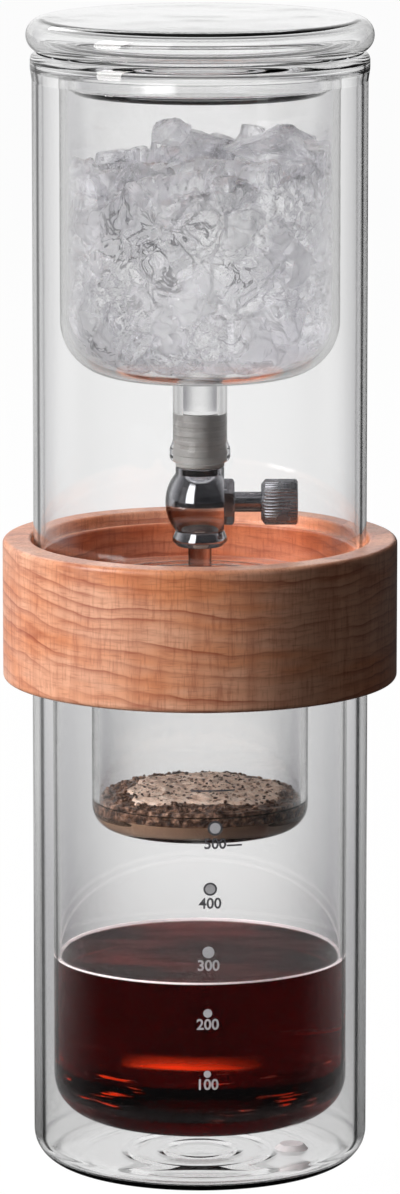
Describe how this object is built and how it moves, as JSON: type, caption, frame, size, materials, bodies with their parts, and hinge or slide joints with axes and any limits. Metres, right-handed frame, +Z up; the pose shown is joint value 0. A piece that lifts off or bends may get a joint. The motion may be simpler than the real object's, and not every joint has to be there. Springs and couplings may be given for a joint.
{
  "type": "cold drip coffee tower",
  "caption": "Stacked glass cold drip coffee maker: an ice vessel with a needle valve drips through a hanging coffee cup in a wooden collar into a double-walled carafe.",
  "frame": {"origin": "centre of the carafe's base, on the surface that the tower stands on", "axes": "+Z up along the tower's axis, +X along the valve's spindle towards its knob, the pictured front faces -Y"},
  "size_m": [0.1146, 0.1146, 0.3361],
  "materials": {
    "clear_glass": "clear blown borosilicate glass, fire-polished",
    "oiled_wood": "turned and oiled pale reddish hardwood, fine grain",
    "white_silicone": "matt white silicone",
    "grey_silicone": "translucent grey silicone",
    "black_rubber": "black rubber seal",
    "steel": "stainless steel, satin",
    "chrome": "polished chrome plating",
    "black_chrome": "dark polished chrome, fluted",
    "seat_plastic": "white slippery plastic"
  },
  "bodies": {
    "carafe": {"carafe_jacket": "clear_glass", "carafe_liner": "clear_glass", "vent_plug": "white_silicone"},
    "collar": {"wood_collar": "oiled_wood"},
    "cup": {"coffee_cup": "clear_glass", "filter_ring": "white_silicone", "filter_disc": "steel"},
    "vessel": {"vessel_tube": "clear_glass", "ice_chamber": "clear_glass", "silicone_stopper": "grey_silicone", "inlet_tube": "steel", "valve_body": "chrome", "valve_seat": "seat_plastic", "gland_nut": "chrome", "skirt_cap": "chrome", "drip_nozzle": "chrome"},
    "seal": {"spindle_seal": "black_rubber"},
    "needle": {"needle_spindle": "steel", "knob": "black_chrome", "knob_screw": "steel"},
    "lid": {"lid_crown": "clear_glass", "lid_plug": "clear_glass"}
  },
  "joints": [
    {"name": "collar_lift", "type": "slide", "parent": "carafe", "child": "collar", "axis": [0, 0, 1], "range_m": [0, 0.08]},
    {"name": "cup_lift", "type": "slide", "parent": "collar", "child": "cup", "axis": [0, 0, 1], "range_m": [0, 0.1]},
    {"name": "vessel_lift", "type": "slide", "parent": "cup", "child": "vessel", "axis": [0, 0, 1], "range_m": [0, 0.05]},
    {"name": "lid_lift", "type": "slide", "parent": "vessel", "child": "lid", "axis": [0, 0, 1], "range_m": [0, 0.04]},
    {"name": "needle_travel", "type": "slide", "parent": "vessel", "child": "seal", "axis": [1, 0, 0], "range_m": [-0.00035, 0.0014]},
    {"name": "knob_turn", "type": "hinge", "parent": "seal", "child": "needle", "pos_m": [0, 0, 0.1954], "axis": [1, 0, 0], "range_deg": [-180, 720]}
  ],
  "couplings": [
    {"joint": "knob_turn", "follows": "needle_travel", "rad_per_m": 8976}
  ]
}
